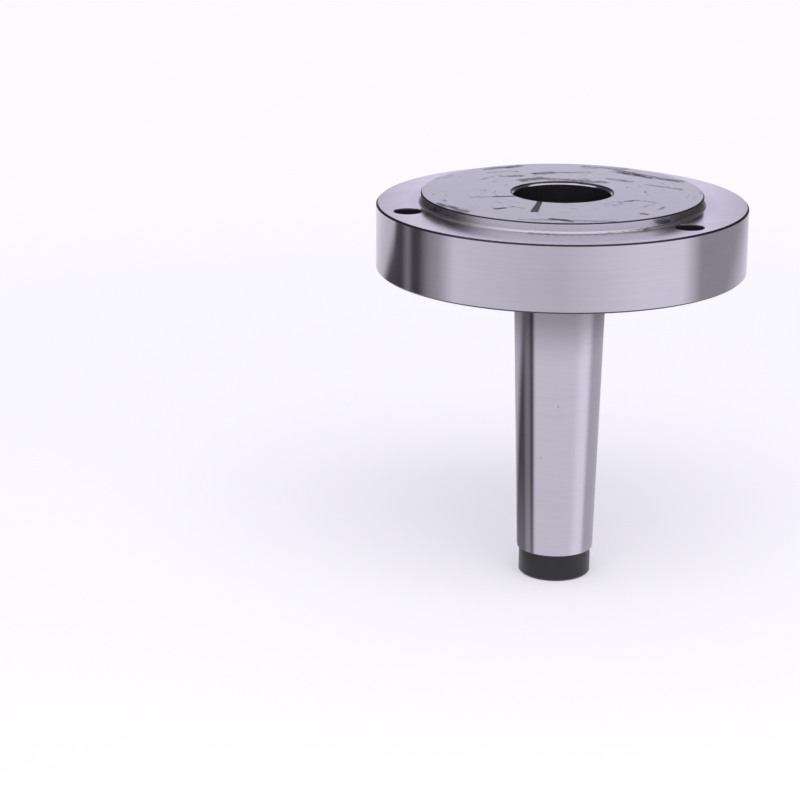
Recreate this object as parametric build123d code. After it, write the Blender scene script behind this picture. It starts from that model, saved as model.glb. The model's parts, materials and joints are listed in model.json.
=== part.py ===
from build123d import *
import math
import os

os.makedirs("parts", exist_ok=True)

# Chuck back plate on a Morse taper No. 4 shank, for a 125 mm self-centring chuck.
# Frame: millimetres. Origin at the centre of the shank's small end face, +Z along the
# axis, out of the machine spindle towards the chuck.

# ---------------------------------------------------------------- driving dimensions
# Morse taper No. 4 shank with a tapped small end
MT4_GAUGE_D = 31.267        # diameter at the gauge plane
MT4_GAUGE_Z = 102.5         # gauge plane above the small end face
MT4_TAPER = 1.0 / 19.254    # on diameter
SHANK_L = 109.0             # small end face to the flange's underside

TIP_D = 24.8                # unground relief at the small end
TIP_L = 9.3
TIP_CHAMFER = 0.8
TAPER_LEAD = 0.4            # chamfer where the ground taper starts

NECK_L = 2.6                # grinding relief under the flange
NECK_DEPTH = 0.5

HEAD_D = 32.5               # head of the shank, seated in the flange's bore
HEAD_SEAT_Z = 112.0         # shoulder that carries the drawbar's pull
HEAD_FACE_Z = 123.2         # front face of the head, at the bottom of the front bore
HEAD_LEAD = 1.0             # lead-in chamfer on the head's front edge

CENTRE_ANGLE = 60.0         # machining centre in the head's face
CENTRE_D = 26.0
CENTRE_SINK_D = 27.2        # shallow protecting recess round the centre
CENTRE_SINK_DEPTH = 0.5
BORE_D = 15.7               # hole through the shank, above the thread
BORE_END_Z = 50.0           # where that hole ends
DRILL_D = 13.8              # tapping drill, M16 x 2
DRILL_ANGLE = 118.0         # end of the large drill
THREAD_D = 16.0             # M16 drawbar thread, bore at the thread's major diameter
THREAD_L = 36.0
END_CENTRE_D = 19.0         # 60 degree centre in the small end

# flange
FLANGE_D = 125.0
FLANGE_T = 22.5
FLANGE_EDGE = 0.6           # edge chamfers of the rim
SPIGOT_D = 95.0             # register that locates the chuck
SPIGOT_H = 3.5
SPIGOT_EDGE = 0.4
SPIGOT_ROOT_R = 0.8         # fillet at the root of the register
FRONT_BORE_D = 33.0
FRONT_BORE_EDGE = 1.0
LIP_D = 31.7                # hole for the shank's pilot, under the head's shoulder
BACK_BORE_EDGE = 0.5

# three holes for M8 cap screws that pull the chuck on
SCREW_PCD = 108.0
SCREW_HOLE_D = 9.0
SCREW_CBORE_D = 14.0
SCREW_LAND = 12.0           # from the chuck face down to the counterbore's floor
SCREW_EDGE = 0.4
SCREW_ANGLES = (90.0, 210.0, 330.0)

# ---------------------------------------------------------------- derived
Z_BACK = SHANK_L                       # flange underside
Z_FACE = Z_BACK + FLANGE_T             # chuck face
Z_TOP = Z_FACE + SPIGOT_H              # register face


def taper_r(z):
    return (MT4_GAUGE_D - (MT4_GAUGE_Z - z) * MT4_TAPER) / 2.0


def turned(points):
    """Solid of revolution about Z from (radius, height) points."""
    profile = make_face(Polyline(*[(r, 0, z) for r, z in points], close=True))
    return revolve(profile, axis=Axis.Z, revolution_arc=360)


def drilled(radius, z_low, z_high, x, y):
    """Cylinder along Z used as a cutter."""
    return Pos(x, y, (z_low + z_high) / 2.0) * Cylinder(radius, z_high - z_low)


# ---------------------------------------------------------------- chuck flange
R = FLANGE_D / 2.0
rs = SPIGOT_D / 2.0
rb = FRONT_BORE_D / 2.0
rh_seat = HEAD_D / 2.0
rl = LIP_D / 2.0
e = FLANGE_EDGE

flange = turned([
    (rl + BACK_BORE_EDGE, Z_BACK),
    (R - e, Z_BACK),
    (R, Z_BACK + e),
    (R, Z_FACE - e),
    (R - e, Z_FACE),
    (rs, Z_FACE),
    (rs, Z_TOP - SPIGOT_EDGE),
    (rs - SPIGOT_EDGE, Z_TOP),
    (rb + FRONT_BORE_EDGE, Z_TOP),
    (rb, Z_TOP - FRONT_BORE_EDGE),
    (rb, HEAD_FACE_Z),
    (rh_seat, HEAD_FACE_Z),
    (rh_seat, HEAD_SEAT_Z),
    (rl, HEAD_SEAT_Z),
    (rl, Z_BACK + BACK_BORE_EDGE),
])

root_edge = [
    c for c in flange.edges().filter_by(GeomType.CIRCLE)
    if abs(c.radius - rs) < 1e-4 and abs(c.center().Z - Z_FACE) < 1e-4
]
flange = fillet(root_edge, SPIGOT_ROOT_R)

pr = SCREW_PCD / 2.0
rh = SCREW_HOLE_D / 2.0
rc = SCREW_CBORE_D / 2.0
for a in SCREW_ANGLES:
    x = pr * math.cos(math.radians(a))
    y = pr * math.sin(math.radians(a))
    # through hole, with a small countersink at the chuck face
    hole = turned([
        (0.0, Z_BACK - 1.0),
        (rc, Z_BACK - 1.0),
        (rc, Z_FACE - SCREW_LAND),
        (rh, Z_FACE - SCREW_LAND),
        (rh, Z_FACE - SCREW_EDGE),
        (rh + SCREW_EDGE, Z_FACE),
        (rh + SCREW_EDGE, Z_FACE + 1.0),
        (0.0, Z_FACE + 1.0),
    ])
    flange -= Pos(x, y, 0) * hole

# ---------------------------------------------------------------- taper shank
tip_r = TIP_D / 2.0
r_start = taper_r(TIP_L)
z_neck = SHANK_L - NECK_L
r_neck_top = taper_r(z_neck)
neck_r = r_neck_top - NECK_DEPTH
hr = HEAD_D / 2.0
cr = CENTRE_D / 2.0
sr = CENTRE_SINK_D / 2.0
br = BORE_D / 2.0
dr = DRILL_D / 2.0
tr = THREAD_D / 2.0
er = END_CENTRE_D / 2.0

z_cone_top = HEAD_FACE_Z - CENTRE_SINK_DEPTH
z_cone_end = z_cone_top - (cr - br) / math.tan(math.radians(CENTRE_ANGLE / 2.0))
z_drill_end = BORE_END_Z - (br - dr) / math.tan(math.radians(DRILL_ANGLE / 2.0))
z_end_centre = (er - tr) / math.tan(math.radians(CENTRE_ANGLE / 2.0))

shank = turned([
    # outside, from the small end up
    (er, 0.0),
    (tip_r - TIP_CHAMFER, 0.0),
    (tip_r, TIP_CHAMFER),
    (tip_r, TIP_L),
    (r_start - TAPER_LEAD, TIP_L),
    (taper_r(TIP_L + TAPER_LEAD), TIP_L + TAPER_LEAD),
    (r_neck_top, z_neck),
    (neck_r, z_neck + NECK_DEPTH),
    (neck_r, Z_BACK),
    (rl, Z_BACK),
    (rl, HEAD_SEAT_Z),
    (hr, HEAD_SEAT_Z),
    (hr, HEAD_FACE_Z - HEAD_LEAD),
    (hr - HEAD_LEAD, HEAD_FACE_Z),
    # inside, from the head's face down
    (sr, HEAD_FACE_Z),
    (sr - 0.3, z_cone_top),
    (cr, z_cone_top),
    (br, z_cone_end),
    (br, BORE_END_Z),
    (dr, z_drill_end),
    (dr, THREAD_L),
    (tr, THREAD_L - (tr - dr)),
    (tr, z_end_centre),
])

# ---------------------------------------------------------------- write the pieces
for name, shape in (("chuck_flange", flange), ("taper_shank", shank)):
    shape.label = name
    export_step(shape, "parts/" + name + ".step")
    print(name, round(shape.volume, 1), shape.bounding_box())
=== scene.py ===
import bpy
import bmesh
import json
import math
from mathutils import Matrix, Vector


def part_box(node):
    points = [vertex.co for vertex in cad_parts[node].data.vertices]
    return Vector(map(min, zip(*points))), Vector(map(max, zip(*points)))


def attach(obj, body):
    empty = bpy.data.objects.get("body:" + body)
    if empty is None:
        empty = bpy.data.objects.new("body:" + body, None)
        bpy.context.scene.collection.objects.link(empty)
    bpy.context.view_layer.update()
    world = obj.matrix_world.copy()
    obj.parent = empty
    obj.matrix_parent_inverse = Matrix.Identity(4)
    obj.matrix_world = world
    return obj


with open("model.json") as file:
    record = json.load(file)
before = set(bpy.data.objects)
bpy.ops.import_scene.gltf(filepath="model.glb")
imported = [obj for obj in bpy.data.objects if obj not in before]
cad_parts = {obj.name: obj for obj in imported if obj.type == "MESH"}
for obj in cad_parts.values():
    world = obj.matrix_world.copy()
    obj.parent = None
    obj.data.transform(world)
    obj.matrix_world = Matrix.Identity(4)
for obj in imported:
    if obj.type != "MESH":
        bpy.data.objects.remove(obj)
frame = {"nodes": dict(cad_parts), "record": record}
bpy.context.view_layer.update()

flange = frame["nodes"]["chuck_flange"]
shank = frame["nodes"]["taper_shank"]
scene = bpy.context.scene
scene.view_settings.view_transform = "Standard"
scene.view_settings.look = "None"
scene.view_settings.exposure = 0.0
scene.view_settings.gamma = 1.0

MM = 0.001

# ------------------------------------------------------------------ sizes read off the frame (mm)
flo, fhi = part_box("chuck_flange")
slo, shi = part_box("taper_shank")
R_OD = fhi.x / MM                    # 62.5
Z_TOP = fhi.z / MM                   # 135
Z_BACK = flo.z / MM                  # 109
Z_HEAD = shi.z / MM                  # 123.2
mounts = {m["name"]: m for m in frame["record"]["mounts"]}
Z_FACE = mounts["chuck_face"]["pos_m"][2] / MM
R_SPIGOT = mounts["register_spigot"]["dims"]["r_mm"]
R_FRONT = mounts["front_bore"]["dims"]["r_mm"]
R_SHANK_BORE = mounts["shank_bore"]["dims"]["r_mm"]
R_THREAD = mounts["drawbar_thread"]["dims"]["r_mm"]
TAPER_FROM, TAPER_TO = 9.7, 106.4    # ground length of the taper
TIP_TOP = 9.3
THREAD_TOP = (mounts["drawbar_thread"]["pos_m"][2] + mounts["drawbar_thread"]["dims"]["length_mm"] * MM / 2) / MM
THREAD_BOTTOM = (mounts["drawbar_thread"]["pos_m"][2] - mounts["drawbar_thread"]["dims"]["length_mm"] * MM / 2) / MM


# ------------------------------------------------------------------ node graph helpers
class Graph:
    """Builds a shader graph from plain expressions. Lengths inside are millimetres."""

    def __init__(self, tree):
        self.tree = tree
        self.nodes = tree.nodes
        self.links = tree.links

    def new(self, kind, **props):
        node = self.nodes.new(kind)
        for k, v in props.items():
            setattr(node, k, v)
        return node

    def put(self, socket, value):
        if isinstance(value, bpy.types.NodeSocket):
            self.links.new(value, socket)
        else:
            socket.default_value = value

    def m(self, op, a, b=None, c=None, clamp=False):
        node = self.new("ShaderNodeMath", operation=op, use_clamp=clamp)
        for i, v in enumerate((a, b, c)):
            if v is not None:
                self.put(node.inputs[i], v)
        return node.outputs[0]

    def add(self, a, b): return self.m("ADD", a, b)
    def sub(self, a, b): return self.m("SUBTRACT", a, b)
    def mul(self, a, b): return self.m("MULTIPLY", a, b)
    def div(self, a, b): return self.m("DIVIDE", a, b)
    def inv(self, a): return self.m("SUBTRACT", 1.0, a)
    def least(self, a, b): return self.m("MINIMUM", a, b)
    def most(self, a, b): return self.m("MAXIMUM", a, b)

    def ramp(self, v, lo, hi, to_lo=0.0, to_hi=1.0, kind="SMOOTHSTEP"):
        node = self.new("ShaderNodeMapRange", interpolation_type=kind, clamp=True)
        self.put(node.inputs["Value"], v)
        self.put(node.inputs["From Min"], lo)
        self.put(node.inputs["From Max"], hi)
        self.put(node.inputs["To Min"], to_lo)
        self.put(node.inputs["To Max"], to_hi)
        return node.outputs["Result"]

    def above(self, v, limit, soft=0.01):
        return self.ramp(v, limit - soft, limit + soft, kind="LINEAR")

    def between(self, v, lo, hi, soft=0.01):
        return self.mul(self.above(v, lo, soft), self.inv(self.above(v, hi, soft)))

    def xyz(self, x, y, z):
        node = self.new("ShaderNodeCombineXYZ")
        for s, v in zip(node.inputs, (x, y, z)):
            self.put(s, v)
        return node.outputs[0]

    def noise(self, vector, scale=1.0, detail=2.0, rough=0.5, distortion=0.0):
        node = self.new("ShaderNodeTexNoise", noise_dimensions="3D")
        self.put(node.inputs["Vector"], vector)
        node.inputs["Scale"].default_value = scale
        node.inputs["Detail"].default_value = detail
        node.inputs["Roughness"].default_value = rough
        node.inputs["Distortion"].default_value = distortion
        return node.outputs["Fac"]

    def voronoi(self, vector, scale=1.0, randomness=1.0, feature="F1"):
        node = self.new("ShaderNodeTexVoronoi", feature=feature)
        self.put(node.inputs["Vector"], vector)
        node.inputs["Scale"].default_value = scale
        node.inputs["Randomness"].default_value = randomness
        return node.outputs["Distance"]

    def mix(self, fac, a, b):
        node = self.new("ShaderNodeMix", data_type="FLOAT")
        self.put(node.inputs[0], fac)
        self.put(node.inputs[2], a)
        self.put(node.inputs[3], b)
        return node.outputs[0]

    def mixc(self, fac, a, b):
        node = self.new("ShaderNodeMix", data_type="RGBA")
        self.put(node.inputs[0], fac)
        for s, v in ((node.inputs[6], a), (node.inputs[7], b)):
            self.put(s, v if isinstance(v, bpy.types.NodeSocket) else (*v, 1.0))
        return node.outputs[2]

    def tint(self, colour, k):
        """colour times the value k."""
        node = self.new("ShaderNodeMix", data_type="RGBA", blend_type="MULTIPLY")
        node.inputs[0].default_value = 1.0
        self.put(node.inputs[6], colour if isinstance(colour, bpy.types.NodeSocket) else (*colour, 1.0))
        self.put(node.inputs[7], self.grey(k))
        return node.outputs[2]

    def grey(self, k):
        node = self.new("ShaderNodeCombineColor")
        for s in node.inputs[:3]:
            self.put(s, k)
        return node.outputs[0]

    def place(self):
        """x, y, z, radius and angle of the shaded point, in mm and radians, about the axis."""
        tc = self.new("ShaderNodeTexCoord")
        sep = self.new("ShaderNodeSeparateXYZ")
        self.links.new(tc.outputs["Object"], sep.inputs[0])
        self.x = self.mul(sep.outputs[0], 1000.0)
        self.y = self.mul(sep.outputs[1], 1000.0)
        self.z = self.mul(sep.outputs[2], 1000.0)
        self.r = self.m("SQRT", self.add(self.mul(self.x, self.x), self.mul(self.y, self.y)))
        self.cos = self.div(self.x, self.most(self.r, 0.001))
        self.sin = self.div(self.y, self.most(self.r, 0.001))
        self.p = self.xyz(self.x, self.y, self.z)

    def round_about(self, around, out, up=0.0, twist=0.0):
        """Seamless polar coordinates: around = cells per radian, out = cells per mm of
        radius, up = cells per mm of height, twist = radians of lead per mm of radius."""
        c, s = self.cos, self.sin
        if twist:
            a = self.mul(self.r, -twist)
            ca, sa = self.m("COSINE", a), self.m("SINE", a)
            c, s = (self.sub(self.mul(self.cos, ca), self.mul(self.sin, sa)),
                    self.add(self.mul(self.sin, ca), self.mul(self.cos, sa)))
        third = self.mul(self.r, out) if out else 0.0
        if up:
            third = self.add(third, self.mul(self.z, up))
        return self.xyz(self.mul(c, around), self.mul(s, around), third)

    def stroke(self, p, q, half, soft, x=None, y=None):
        """1 on a soft-edged stroke from p to q (mm, on the face), 0 away from it."""
        x, y = x or self.x, y or self.y
        ex, ey = q[0] - p[0], q[1] - p[1]
        n = max(ex * ex + ey * ey, 1e-6)
        dx, dy = self.sub(x, p[0]), self.sub(y, p[1])
        t = self.m("ADD", self.mul(dx, ex / n), self.mul(dy, ey / n), clamp=True)
        ax, ay = self.sub(dx, self.mul(t, ex)), self.sub(dy, self.mul(t, ey))
        d = self.m("SQRT", self.add(self.mul(ax, ax), self.mul(ay, ay)))
        return self.ramp(d, half, half + soft, 1.0, 0.0)

    def bump(self, height, mm, normal=None):
        """height 0..1 stands for mm of relief."""
        node = self.new("ShaderNodeBump")
        node.inputs["Strength"].default_value = 1.0
        node.inputs["Distance"].default_value = 0.001
        self.put(node.inputs["Height"], self.mul(height, mm))
        if normal is not None:
            self.put(node.inputs["Normal"], normal)
        return node.outputs[0]


def material(name):
    mat = bpy.data.materials.new(name)
    mat.use_nodes = True
    mat.node_tree.nodes.clear()
    g = Graph(mat.node_tree)
    out = g.new("ShaderNodeOutputMaterial")
    bsdf = g.new("ShaderNodeBsdfPrincipled")
    g.links.new(bsdf.outputs[0], out.inputs[0])
    g.place()
    return mat, g, bsdf


STEEL = (0.585, 0.565, 0.600)
OXIDE = (0.0085, 0.0085, 0.0115)


def ground_round(g):
    """Cylindrically ground steel: hair-fine lines round the axis, with faint chatter."""
    fine = g.noise(g.round_about(3.0, 0.0, up=26.0), detail=4.0, rough=0.7)
    broad = g.noise(g.round_about(1.6, 0.0, up=2.2), detail=3.0, rough=0.6)
    cloud = g.noise(g.p, scale=0.045, detail=3.0, rough=0.55)
    height = g.add(g.mul(fine, 0.7), g.mul(broad, 0.3))
    rough = g.add(0.10, g.add(g.mul(g.sub(fine, 0.5), 0.08), g.mul(g.sub(cloud, 0.5), 0.12)))
    shade = g.add(1.0, g.add(g.mul(g.sub(broad, 0.5), 0.10), g.mul(g.sub(cloud, 0.5), 0.10)))
    return height, rough, shade


def ground_flat(g):
    """Face-ground steel: long scratches that lean away from the radius as the wheel left them."""
    lines = g.noise(g.round_about(95.0, 0.10, twist=0.0235), detail=4.0, rough=0.72)
    cross = g.noise(g.round_about(70.0, 0.16, twist=-0.011), detail=3.0, rough=0.7)
    bands = g.noise(g.round_about(7.0, 0.03, twist=0.0235), detail=2.0, rough=0.5)
    cloud = g.noise(g.p, scale=0.06, detail=3.0, rough=0.55)
    height = g.add(g.mul(lines, 0.7), g.mul(cross, 0.3))
    rough = g.add(0.20, g.add(g.mul(g.sub(lines, 0.5), 0.16), g.mul(g.sub(cloud, 0.5), 0.14)))
    shade = g.add(0.97, g.add(g.mul(g.sub(lines, 0.5), 0.30), g.mul(g.sub(bands, 0.5), 0.22)))
    return height, rough, shade


def oxide_turned(g, along="r"):
    """Black oxide over turning marks, with a wiped film of oil on it."""
    if along == "r":
        marks = g.noise(g.round_about(1.4, 7.5), detail=3.0, rough=0.65)
    else:
        marks = g.noise(g.round_about(1.6, 0.0, up=7.5), detail=3.0, rough=0.65)
    film = g.noise(g.p, scale=0.075, detail=4.0, rough=0.6, distortion=0.6)
    grain = g.noise(g.p, scale=5.0, detail=3.0, rough=0.7)
    height = g.add(g.mul(marks, 0.6), g.mul(grain, 0.4))
    rough = g.add(0.24, g.add(g.mul(g.sub(film, 0.5), 0.22), g.mul(g.sub(marks, 0.5), 0.10)))
    shade = g.add(0.8, g.mul(film, 0.7))
    return height, rough, shade


# ------------------------------------------------------------------ the flange's finish
mat_flange, g, bsdf = material("flange_ground_and_blacked")
od = g.mul(g.above(g.r, R_OD - 0.10), g.between(g.z, Z_BACK + 0.6, Z_FACE - 0.6))
face = g.mul(g.between(g.r, R_SPIGOT - 0.45, R_OD - 0.57), g.between(g.z, Z_FACE - 0.05, Z_TOP - 0.42))
wall = g.mul(face, g.above(g.z, Z_FACE + 0.10, 0.05))
is_face = g.mul(face, g.inv(wall))
# the bore's mouth has lost its black along the inner edge, where chucks are slid in
lip_wear = g.noise(g.round_about(2.6, 0.0, up=0.4), detail=3.0, rough=0.6)
lip_edge = g.add(R_FRONT + 0.42, g.mul(g.sub(lip_wear, 0.5), 0.5))
lip = g.mul(g.mul(g.above(g.r, R_FRONT + 0.02, 0.01), g.inv(g.ramp(g.sub(g.r, lip_edge), -0.06, 0.06))),
            g.above(g.z, Z_TOP - 1.01, 0.01))
ground = g.most(g.most(od, face), lip)

h_od, r_od, s_od = ground_round(g)
h_fl, r_fl, s_fl = ground_flat(g)
h_gr, r_gr, s_gr = (g.mix(is_face, a, b) for a, b in ((h_od, h_fl), (r_od, r_fl), (s_od, s_fl)))
r_gr = g.mix(wall, r_gr, g.add(r_od, 0.10))
root = g.mul(face, g.between(g.z, Z_FACE + 0.03, Z_FACE + 0.75, 0.03))
r_gr = g.add(r_gr, g.mul(root, 0.10))
s_gr = g.mix(wall, s_gr, g.mul(s_od, 1.16))
# painted shade: the face's colour is made darker over the last few millimetres up to the register
s_gr = g.mul(s_gr, g.mix(is_face, 1.0, g.ramp(g.r, R_SPIGOT + 1.0, R_SPIGOT + 6.0, 0.84, 1.0)))

# the register's black face: turning marks, oil dragged about by a rag, dark dry smudges
h_ox, r_ox, s_ox = oxide_turned(g, "r")
on_register = g.above(g.z, Z_TOP - 0.05)
wob = g.noise(g.p, scale=0.22, detail=4.0, rough=0.6)
wob2 = g.noise(g.xyz(g.x, g.y, 40.0), scale=0.22, detail=4.0, rough=0.6)
nib = g.noise(g.p, scale=1.1, detail=4.0, rough=0.65)
nib2 = g.noise(g.xyz(g.x, g.y, 60.0), scale=1.1, detail=4.0, rough=0.65)
nx, ny = g.mul(g.sub(nib, 0.5), 1.6), g.mul(g.sub(nib2, 0.5), 1.6)
wx = g.add(g.add(g.x, g.mul(g.sub(wob, 0.5), 4.0)), nx)
wy = g.add(g.add(g.y, g.mul(g.sub(wob2, 0.5), 4.0)), ny)
tx, ty = g.add(g.x, g.mul(nx, 0.65)), g.add(g.y, g.mul(ny, 0.65))
# the bold wiped mark beside the bore keeps its shape, the rest are drawn out and broken
SMEARS = [   # from, to (mm), half width, fade, weight, straight
    ((-4.6, -16.6), (-3.9, -32.6), 0.45, 0.45, 0.95, True),
    ((-4.2, -16.6), (-2.6, -32.4), 0.45, 0.45, 0.95, True),
    ((-14.5, -10.9), (-20.5, -13.4), 0.25, 1.1, 0.90, True),
    ((-20.0, -13.2), (-28.0, -16.2), 0.00, 1.0, 0.60, True),
    ((4.5, -41.2), (10.5, -43.0), 0.60, 1.4, 1.00, False),
    ((-6.0, -44.4), (24.0, -40.0), 0.00, 1.3, 0.75, False),
    ((-36.0, -28.5), (-25.0, -38.0), 0.20, 2.6, 0.80, False),
    ((21.6, -11.0), (26.0, -6.6), 0.30, 1.0, 0.90, False),
    ((26.0, -6.6), (34.5, -9.0), 0.00, 0.9, 0.60, False),
    ((31.0, -26.4), (32.6, -26.8), 0.50, 0.6, 0.85, True),
    ((36.5, -14.0), (36.0, -19.0), 0.10, 0.9, 0.60, False),
    ((-13.8, -29.4), (-16.2, -31.6), 0.45, 0.8, 0.95, True),
    ((-11.0, -26.4), (-12.4, -28.0), 0.20, 0.7, 0.70, False),
    ((-14.2, 27.6), (-9.4, 30.2), 0.90, 1.8, 1.00, False),
    ((-10.0, 30.0), (3.0, 33.6), 0.10, 1.6, 0.70, False),
    ((-24.5, 19.4), (-18.5, 22.2), 0.50, 1.6, 0.75, False),
    ((-30.0, 25.0), (-22.0, 29.0), 0.20, 1.4, 0.60, False),
    ((-16.5, 15.0), (-11.5, 19.6), 0.90, 2.6, 0.75, False),
    ((-9.0, 19.5), (11.0, 19.0), 0.60, 2.4, 0.75, False),
    ((13.0, 38.2), (25.0, 31.2), 0.60, 3.0, 1.00, False),
    ((25.0, 31.2), (36.0, 27.0), 0.30, 2.6, 0.80, False),
    ((12.0, 25.0), (19.5, 22.4), 0.30, 1.8, 0.65, False),
    ((26.0, 19.0), (38.0, 13.5), 0.05, 1.8, 0.60, False),
    ((-32.5, 30.0), (-22.0, 38.5), 0.20, 2.0, 0.85, False),
    ((0.0, 43.5), (14.0, 42.0), 0.20, 2.0, 0.70, False),
]
smear, mark = 0.0, 0.0
for p, q, half, soft, k, straight in SMEARS:
    if straight:
        mark = g.most(mark, g.mul(g.stroke(p, q, half, soft, tx, ty), k))
    else:
        smear = g.most(smear, g.mul(g.stroke(p, q, half, soft, wx, wy), k))
drag = g.noise(g.round_about(3.2, 0.55, twist=0.004), detail=5.0, rough=0.62, distortion=0.35)
patch = g.noise(g.round_about(2.2, 0.09, twist=0.006), detail=3.0, rough=0.55)
streak = g.mul(g.ramp(drag, 0.54, 0.68), g.ramp(patch, 0.46, 0.58))
tooth = g.noise(g.round_about(9.0, 0.9), detail=5.0, rough=0.68, distortion=0.3)
smear = g.mul(g.most(smear, g.mul(streak, 0.60)), g.ramp(tooth, 0.36, 0.56, 0.30, 1.0))
smear = g.mul(g.most(smear, mark), on_register)
# the oil's own waves: they lean the mirror a little, in arcs round the bore
swell = g.noise(g.round_about(2.4, 0.16, twist=0.012), detail=2.0, rough=0.45, distortion=0.4)
speck_at = g.voronoi(g.xyz(g.x, g.y, g.mul(g.z, 0.2)), scale=0.33)
speck_on = g.noise(g.p, scale=0.11, detail=1.0)
speck = g.mul(g.inv(g.ramp(speck_at, 0.03, 0.065)), g.mul(g.ramp(speck_on, 0.52, 0.60), on_register))

rough_ox = g.add(g.mix(on_register, g.add(r_ox, 0.05), g.sub(r_ox, 0.10)), g.add(g.mul(smear, 0.60), g.mul(speck, 0.2)))
colour_ox = g.mixc(speck, g.tint(OXIDE, s_ox), (0.10, 0.095, 0.10))

colour = g.mixc(ground, colour_ox, g.tint(STEEL, s_gr))
g.put(bsdf.inputs["Base Color"], colour)
g.put(bsdf.inputs["Metallic"], ground)
g.put(bsdf.inputs["Roughness"], g.mix(ground, rough_ox, r_gr))
height = g.mix(ground, g.mul(h_ox, 0.005), g.mul(g.mul(h_gr, g.mix(is_face, 0.0010, 0.0014)), g.inv(root)))
height = g.add(height, g.add(g.mul(smear, 0.002), g.mul(g.mul(swell, on_register), 0.035)))
g.put(bsdf.inputs["Normal"], g.bump(height, 1.0))
bsdf.inputs["IOR"].default_value = 1.42
# the oil that is kept on black oxide; it is gone where the face was smudged or ground
g.put(bsdf.inputs["Coat Weight"], g.mul(g.mul(g.inv(ground), g.inv(smear)), on_register))
bsdf.inputs["Coat Roughness"].default_value = 0.10
bsdf.inputs["Coat IOR"].default_value = 1.42
flange.data.materials.clear()
flange.data.materials.append(mat_flange)

# ------------------------------------------------------------------ the shank's finish
mat_shank, g, bsdf = material("shank_ground_and_blacked")
taper_r = g.mul(g.add(31.267, g.mul(g.sub(g.z, 102.5), 1.0 / 19.254)), 0.5)
outside = g.above(g.sub(g.r, taper_r), -0.30, 0.02)
taper = g.mul(outside, g.between(g.z, TIP_TOP + 0.02, TAPER_TO))
cone = g.mul(g.between(g.r, R_SHANK_BORE + 0.03, 13.03), g.between(g.z, 113.7, 122.75))
end_cone = g.mul(g.between(g.r, R_THREAD + 0.02, 9.48), g.between(g.z, 0.02, 2.7))
ground = g.most(taper, end_cone)
h_od, r_od, s_od = ground_round(g)
h_ox, r_ox, s_ox = oxide_turned(g, "z")
# the 60 degree centre: boring marks that show through a thin black, and a few pits
rings = g.noise(g.round_about(0.8, 0.0, up=2.6), detail=4.0, rough=0.7)
pit_at = g.voronoi(g.p, scale=0.42)
pit = g.mul(g.inv(g.ramp(pit_at, 0.05, 0.10)), cone)
thin = g.mul(cone, g.mul(g.ramp(rings, 0.36, 0.62, 0.35, 1.0), g.inv(pit)))
# handling: short scratches down the taper and a few rubbed dots
scratch = g.noise(g.xyz(g.mul(g.cos, 46.0), g.mul(g.sin, 46.0), g.mul(g.z, 0.16)), detail=3.0, rough=0.6, distortion=0.25)
where = g.noise(g.p, scale=0.05, detail=2.0)
scratch = g.mul(g.mul(g.ramp(scratch, 0.63, 0.70), g.ramp(where, 0.48, 0.60)), taper)
dot_at = g.voronoi(g.xyz(g.mul(g.cos, 15.0), g.mul(g.sin, 15.0), g.mul(g.z, 0.6)), scale=0.10)
dot = g.mul(g.inv(g.ramp(dot_at, 0.030, 0.055)), taper)
s_od = g.mul(s_od, g.mul(g.sub(1.0, g.mul(scratch, 0.10)), g.sub(1.0, g.mul(dot, 0.55))))
r_od = g.add(r_od, g.add(g.mul(scratch, 0.10), g.mul(dot, 0.2)))
colour = g.mixc(ground, g.mixc(thin, g.tint(OXIDE, s_ox), (0.20, 0.195, 0.215)), g.tint(STEEL, s_od))
g.put(bsdf.inputs["Base Color"], colour)
g.put(bsdf.inputs["Metallic"], g.most(ground, g.mul(thin, 0.85)))
g.put(bsdf.inputs["Roughness"], g.mix(ground, g.add(r_ox, 0.10), r_od))
g.put(bsdf.inputs["Normal"], g.bump(g.mix(ground, g.add(g.mul(h_ox, 0.005), g.mul(thin, 0.010)), g.mul(h_od, 0.0010)), 1.0))
bsdf.inputs["IOR"].default_value = 1.45
shank.data.materials.clear()
shank.data.materials.append(mat_shank)


# ------------------------------------------------------------------ the drawbar thread, M16 x 2, cut for real
def helix_thread(name, r_major, r_minor, pitch, z0, z1, per_turn=64):
    """A closed right-hand ridge standing in from the bore wall, run out to nothing at each end."""
    bm = bmesh.new()
    turns = (z1 - z0 - pitch) / pitch
    n = int(turns * per_turn)
    rings = []
    for i in range(n + 1):
        a = 2 * math.pi * i / per_turn
        z = z0 + pitch / 2 + pitch * i / per_turn
        k = min(1.0, i / (per_turn * 0.6), (n - i) / (per_turn * 0.6))
        k = max(k, 0.02)
        inner = r_major - (r_major - r_minor) * k
        foot = 0.875 * pitch / 2
        crest = foot - (foot - 0.25 * pitch / 2) * k
        outer = r_major + 0.03
        pts = ((outer, -foot), (inner, -crest), (inner, crest), (outer, foot))
        rings.append([bm.verts.new((r * math.cos(a) * MM, r * math.sin(a) * MM, (z + dz) * MM)) for r, dz in pts])
    for p, q in zip(rings, rings[1:]):
        for j in range(4):
            k = (j + 1) % 4
            bm.faces.new((p[j], q[j], q[k], p[k]))
    bm.faces.new(rings[0])
    bm.faces.new(list(reversed(rings[-1])))
    bmesh.ops.recalc_face_normals(bm, faces=bm.faces)
    me = bpy.data.meshes.new(name)
    bm.to_mesh(me)
    bm.free()
    ob = bpy.data.objects.new(name, me)
    scene.collection.objects.link(ob)
    return ob


thread = helix_thread("drawbar_thread", R_THREAD, 6.918, 2.0, THREAD_BOTTOM + 0.6, THREAD_TOP - 0.6)
thread.data.materials.append(mat_shank)
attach(thread, "root")


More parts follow.
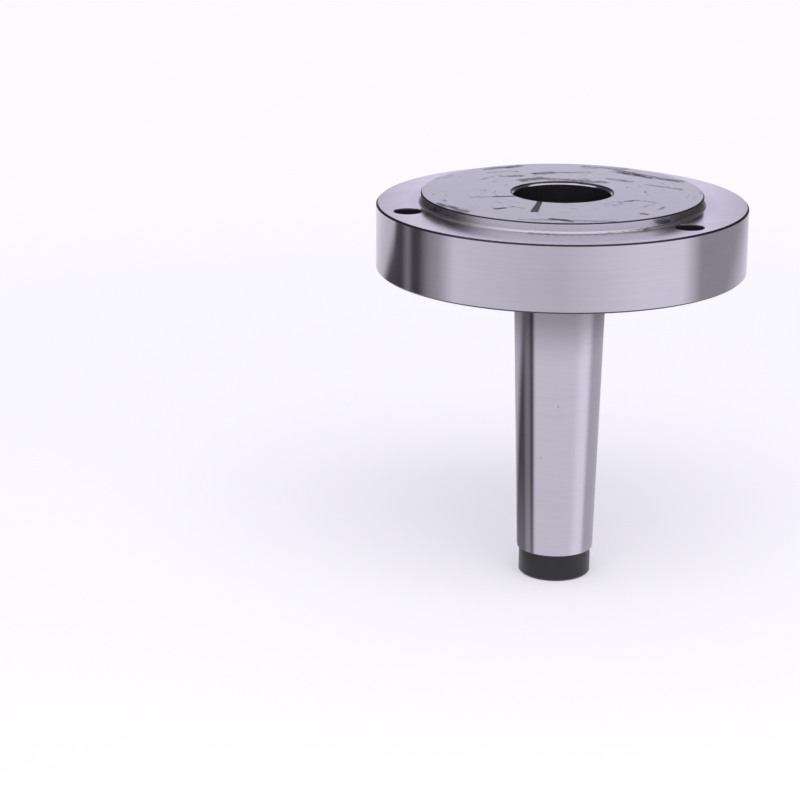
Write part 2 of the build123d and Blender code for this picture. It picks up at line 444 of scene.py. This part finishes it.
# ------------------------------------------------------------------ the stage
def new_object(name, bm, mat=None, smooth=False):
    me = bpy.data.meshes.new(name)
    bm.to_mesh(me)
    bm.free()
    if smooth:
        for p in me.polygons:
            p.use_smooth = True
    ob = bpy.data.objects.new(name, me)
    scene.collection.objects.link(ob)
    if mat:
        me.materials.append(mat)
    return ob


# camera: the fitted view of the standing part
E, ROLL = math.radians(16.785), math.radians(0.23)
FOCAL_PX, DIST = 2579.0, 866.78
TX, TY = 54.448, -66.532
TURN = math.radians(13.8)            # the row's +Y screw hole against the view's own axes
fw = Vector((0, math.cos(E), -math.sin(E)))
ri = Vector((1, 0, 0))
dn = Vector((0, -math.sin(E), -math.cos(E)))
ri2 = math.cos(ROLL) * ri - math.sin(ROLL) * dn
dn2 = math.sin(ROLL) * ri + math.cos(ROLL) * dn
eye = -(ri2 * TX + dn2 * TY + fw * DIST)
turn = Matrix.Rotation(TURN, 3, "Z")
right, up, back = turn @ ri2, turn @ -dn2, turn @ -fw
eye = (turn @ eye + Vector((0, 0, Z_FACE))) * MM
cam_data = bpy.data.cameras.new("camera")
cam_data.sensor_width = 36.0
cam_data.lens = FOCAL_PX * 36.0 / 800.0
cam_data.clip_start, cam_data.clip_end = 0.01, 50.0
cam = bpy.data.objects.new("camera", cam_data)
scene.collection.objects.link(cam)
pose = Matrix.Identity(4)
for i, axis in enumerate((right, up, back)):
    for j in range(3):
        pose[j][i] = axis[j]
for j in range(3):
    pose[j][3] = eye[j]
cam.matrix_world = pose
scene.camera = cam
CAM_AZ = math.atan2(eye.x, -eye.y)   # 0 when the camera stands on -Y

# floor: pale sweep that fades into the backdrop's own tone, seen from above only, so
# that the underside can be looked at
BACKDROP = (0.975, 0.957, 1.0)
mat_floor = bpy.data.materials.new("floor")
mat_floor.use_nodes = True
mat_floor.node_tree.nodes.clear()
g = Graph(mat_floor.node_tree)
out = g.new("ShaderNodeOutputMaterial")
g.place()
dif = g.new("ShaderNodeBsdfDiffuse")
dif.inputs[0].default_value = (0.90, 0.89, 0.92, 1.0)
far = g.new("ShaderNodeEmission")
far.inputs[0].default_value = (*BACKDROP, 1.0)
clear = g.new("ShaderNodeBsdfTransparent")
geo = g.new("ShaderNodeNewGeometry")
sweep = g.new("ShaderNodeMixShader")
g.put(sweep.inputs[0], g.ramp(g.r, 150.0, 620.0, 0.35, 1.0))
g.links.new(dif.outputs[0], sweep.inputs[1])
g.links.new(far.outputs[0], sweep.inputs[2])
mx = g.new("ShaderNodeMixShader")
under = g.inv(g.above(g.r, 11.3, 0.05))                 # open under the small end, so that it can be looked into
g.put(mx.inputs[0], g.most(geo.outputs["Backfacing"], under))
g.links.new(sweep.outputs[0], mx.inputs[1])
g.links.new(clear.outputs[0], mx.inputs[2])
g.links.new(mx.outputs[0], out.inputs[0])
bm = bmesh.new()
bmesh.ops.create_grid(bm, x_segments=1, y_segments=1, size=8.0)
floor = new_object("floor", bm, mat_floor)

# Reflection walls: rings that only gloss sees, pale with soft dark gaps, as a studio's
# cards and its unlit sides look in ground steel. The wide one is what the rim, the
# register's wall and the face mirror; the narrow one is what the shank mirrors.
# Each row of a table is (direction a mirrored ray leaves in, degrees from the front; level).
LOW = [
    (-180, 1.0), (-140, 0.7), (-130, 0.1), (-115, 0.07), (-108, 0.3), (-103, 0.07), (-97, 0.07), (-88, 0.35),
    (-80, 0.45), (-68, 0.9), (0, 0.75), (50, 1.0), (80, 1.0), (95, 0.4), (125, 0.4), (150, 0.7), (180, 1.0)]
HIGH = [
    (-180, 1.0), (-160, 0.1), (-150, 0.05), (-95, 0.05), (-80, 0.3), (-65, 0.75), (-50, 0.9), (75, 0.95),
    (90, 0.2), (100, 0.05), (150, 0.05), (165, 0.2), (180, 1.0)]


def ring_angle(direction_deg, r, ring_r):
    """Where a ray that left a round surface of radius r in this direction meets the ring."""
    if abs(direction_deg) > 179.5:
        return direction_deg
    d = math.radians(direction_deg)
    a = d / 2.0
    px, py = r * math.sin(a), r * math.cos(a)
    dx, dy = math.sin(d), math.cos(d)
    b = px * dx + py * dy
    t = -b + math.sqrt(b * b - (px * px + py * py - ring_r * ring_r))
    return math.degrees(math.atan2(px + t * dx, py + t * dy))


def table(g, share, stops, r, ring_r):
    """The level at each share (0..1) of the circle, front half and back half in a ramp each."""
    at = [(ring_angle(d, r, ring_r) / 360.0 + 0.5, v) for d, v in stops]
    half = min(range(len(at)), key=lambda i: abs(at[i][0] - 0.5))
    outs = []
    for part in (at[: half + 1], at[half:]):
        node = g.new("ShaderNodeValToRGB")
        e = node.color_ramp.elements
        e[0].position, e[1].position = part[0][0], part[-1][0]
        e[0].color = (part[0][1],) * 3 + (1,)
        e[1].color = (part[-1][1],) * 3 + (1,)
        for pos, v in part[1:-1]:
            e.new(pos).color = (v, v, v, 1)
        g.put(node.inputs[0], share)
        outs.append(node.outputs[0])
    return g.mix(g.above(share, at[half][0], 0.0005), outs[0], outs[1])


def wall_material(name):
    mat = bpy.data.materials.new(name)
    mat.use_nodes = True
    mat.node_tree.nodes.clear()
    g = Graph(mat.node_tree)
    out = g.new("ShaderNodeOutputMaterial")
    g.place()
    em = g.new("ShaderNodeEmission")
    clear = g.new("ShaderNodeBsdfTransparent")
    mx = g.new("ShaderNodeMixShader")
    g.links.new(em.outputs[0], mx.inputs[1])
    g.links.new(clear.outputs[0], mx.inputs[2])
    g.links.new(mx.outputs[0], out.inputs[0])
    return mat, g, em, mx


def wall_ring(name, radius, z0, z1, mat):
    bm = bmesh.new()
    N = 128
    lo, hi = [], []
    for i in range(N):
        a = 2 * math.pi * i / N
        lo.append(bm.verts.new((radius * math.cos(a), radius * math.sin(a), z0)))
        hi.append(bm.verts.new((radius * math.cos(a), radius * math.sin(a), z1)))
    for i in range(N):
        j = (i + 1) % N
        bm.faces.new((lo[j], lo[i], hi[i], hi[j]))      # facing the axis
    ring = new_object(name, bm, mat)
    ring.rotation_euler = (0, 0, CAM_AZ)
    ring.visible_camera = False
    ring.visible_diffuse = False
    ring.visible_shadow = False
    ring.visible_transmission = False
    ring.visible_volume_scatter = False
    return ring


WALL_TINT = (0.955, 0.925, 1.055)
RING_R = 0.30
mat_ring, g, em, mx = wall_material("reflection_wall")
geo = g.new("ShaderNodeNewGeometry")
angle = g.m("ARCTAN2", g.x, g.mul(g.y, -1.0))
turned = g.mul(g.m("ABSOLUTE", angle), 180.0 / math.pi)
# the rear edges of the gaps lean, as the studio's cards did
lean = g.mul(g.ramp(turned, 104.0, 116.0), g.inv(g.ramp(turned, 140.0, 172.0)))
shift = g.mul(g.mul(g.ramp(g.z, 20.0, 76.0, 1.0, -1.0, "LINEAR"), lean), math.radians(20.0))
share = g.add(g.div(g.add(angle, shift), 2 * math.pi), 0.5)
low = table(g, share, LOW, R_OD * MM, RING_R)
high = table(g, g.add(g.div(angle, 2 * math.pi), 0.5), HIGH, R_SPIGOT * MM, RING_R)
climb = g.ramp(g.z, 96.0, 150.0)
g.put(em.inputs[0], g.tint(WALL_TINT, g.mix(climb, low, high)))
open_low = g.ramp(g.z, 430.0, 500.0)
open_back = g.mul(climb, g.ramp(turned, 158.0, 170.0))
g.put(mx.inputs[0], g.most(g.most(open_low, open_back), geo.outputs["Backfacing"]))
wall_ring("reflection_wall", RING_R, 0.0005, 0.500, mat_ring)

SLEEVE_R = 0.032
SHANK_R = 0.0145
mat_near, g, em, mx = wall_material("reflection_sleeve")
geo = g.new("ShaderNodeNewGeometry")
around = g.mul(g.m("ARCTAN2", g.x, g.mul(g.y, -1.0)), 180.0 / math.pi)
h = g.add(g.z, 6.3)                  # height on the shank that mirrors this height of the sleeve


def card(under, start, end, level, soft=8.0, soft_end=None):
    """Lay a card of this level over what is there, between two directions with soft edges."""
    if not isinstance(start, bpy.types.NodeSocket):
        start = ring_angle(start, SHANK_R, SLEEVE_R)
    end = ring_angle(end, SHANK_R, SLEEVE_R)
    on = g.mul(g.ramp(g.sub(around, start), -soft, soft), g.inv(g.ramp(g.sub(around, end), -(soft_end or soft), soft_end or soft)))
    return g.mix(on, under, level)


low_down = g.ramp(h, 10.0, 40.0, 1.0, 0.0, "LINEAR")
level = g.ramp(g.m("ABSOLUTE", around), 130.0, 175.0, 0.6, 0.9)                              # behind
gap_edge = g.ramp(h, 15.0, 97.0, ring_angle(-160, SHANK_R, SLEEVE_R), ring_angle(-103, SHANK_R, SLEEVE_R), "LINEAR")
level = card(level, gap_edge, -66, g.mix(low_down, 0.10, 0.22), 14.0, 5.0)                   # dark gap at the left
level = card(level, -100, -80, g.mix(low_down, 0.28, 0.42), 7.0, 5.0)                        # dim strip in it
level = card(level, -66, 95, 0.9, 6.0, 8.0)                                                  # bright front
level = card(level, 55, 88, 1.1, 12.0, 7.0)                                                  # brightest at the right
level = g.mul(level, g.ramp(h, 78.0, 99.0, 1.0, 0.5))                                        # shade under the flange
g.put(em.inputs[0], g.tint(WALL_TINT, level))
g.put(mx.inputs[0], geo.outputs["Backfacing"])
wall_ring("reflection_sleeve", SLEEVE_R, -0.004, 0.1035, mat_near)

# lights
world = bpy.data.worlds.new("studio")
world.use_nodes = True
scene.world = world
world.node_tree.nodes.clear()
g = Graph(world.node_tree)
out = g.new("ShaderNodeOutputWorld")
tc = g.new("ShaderNodeTexCoord")
sep = g.new("ShaderNodeSeparateXYZ")
g.links.new(tc.outputs["Generated"], sep.inputs[0])
lp = g.new("ShaderNodeLightPath")
gloss = g.ramp(sep.outputs[2], 0.15, 0.75, 0.97, 1.06)          # what gloss mirrors
fill = g.ramp(sep.outputs[2], 0.0, 1.0, 1.06, 0.72)             # what lights the floor and dull parts
bg = g.new("ShaderNodeBackground")
hue = g.mixc(g.ramp(sep.outputs[2], 0.30, 0.80), (0.935, 0.90, 1.11), (1.0, 0.955, 1.03))
g.put(bg.inputs[0], g.mixc(lp.outputs["Is Glossy Ray"], g.tint((0.90, 0.88, 1.08), fill), g.tint(hue, gloss)))
bg.inputs[1].default_value = 1.0
seen = g.new("ShaderNodeBackground")
seen.inputs[0].default_value = (*BACKDROP, 1.0)
mx = g.new("ShaderNodeMixShader")
g.links.new(lp.outputs["Is Camera Ray"], mx.inputs[0])
g.links.new(bg.outputs[0], mx.inputs[1])
g.links.new(seen.outputs[0], mx.inputs[2])
g.links.new(mx.outputs[0], out.inputs[0])


def area(name, power, size, location, target, colour=(1, 1, 1)):
    d = bpy.data.lights.new(name, "AREA")
    d.shape = "RECTANGLE"
    d.size, d.size_y = size
    d.energy = power
    d.color = colour
    o = bpy.data.objects.new(name, d)
    scene.collection.objects.link(o)
    o.location = location
    o.rotation_mode = "QUATERNION"
    o.rotation_quaternion = (Vector(target) - Vector(location)).to_track_quat("-Z", "Y")
    o.visible_glossy = False
    return o


def about(right_m, front_m, z_m):
    """A place given from the camera's side: right, towards the camera, up."""
    s, c = math.sin(CAM_AZ), math.cos(CAM_AZ)
    return (right_m * c + front_m * s, right_m * s - front_m * c, z_m)


area("key", 10.8, (1.4, 0.8), about(0.12, 0.74, 1.15), (0, 0, 0.03), (1.0, 0.985, 0.80))

bpy.context.view_layer.update()
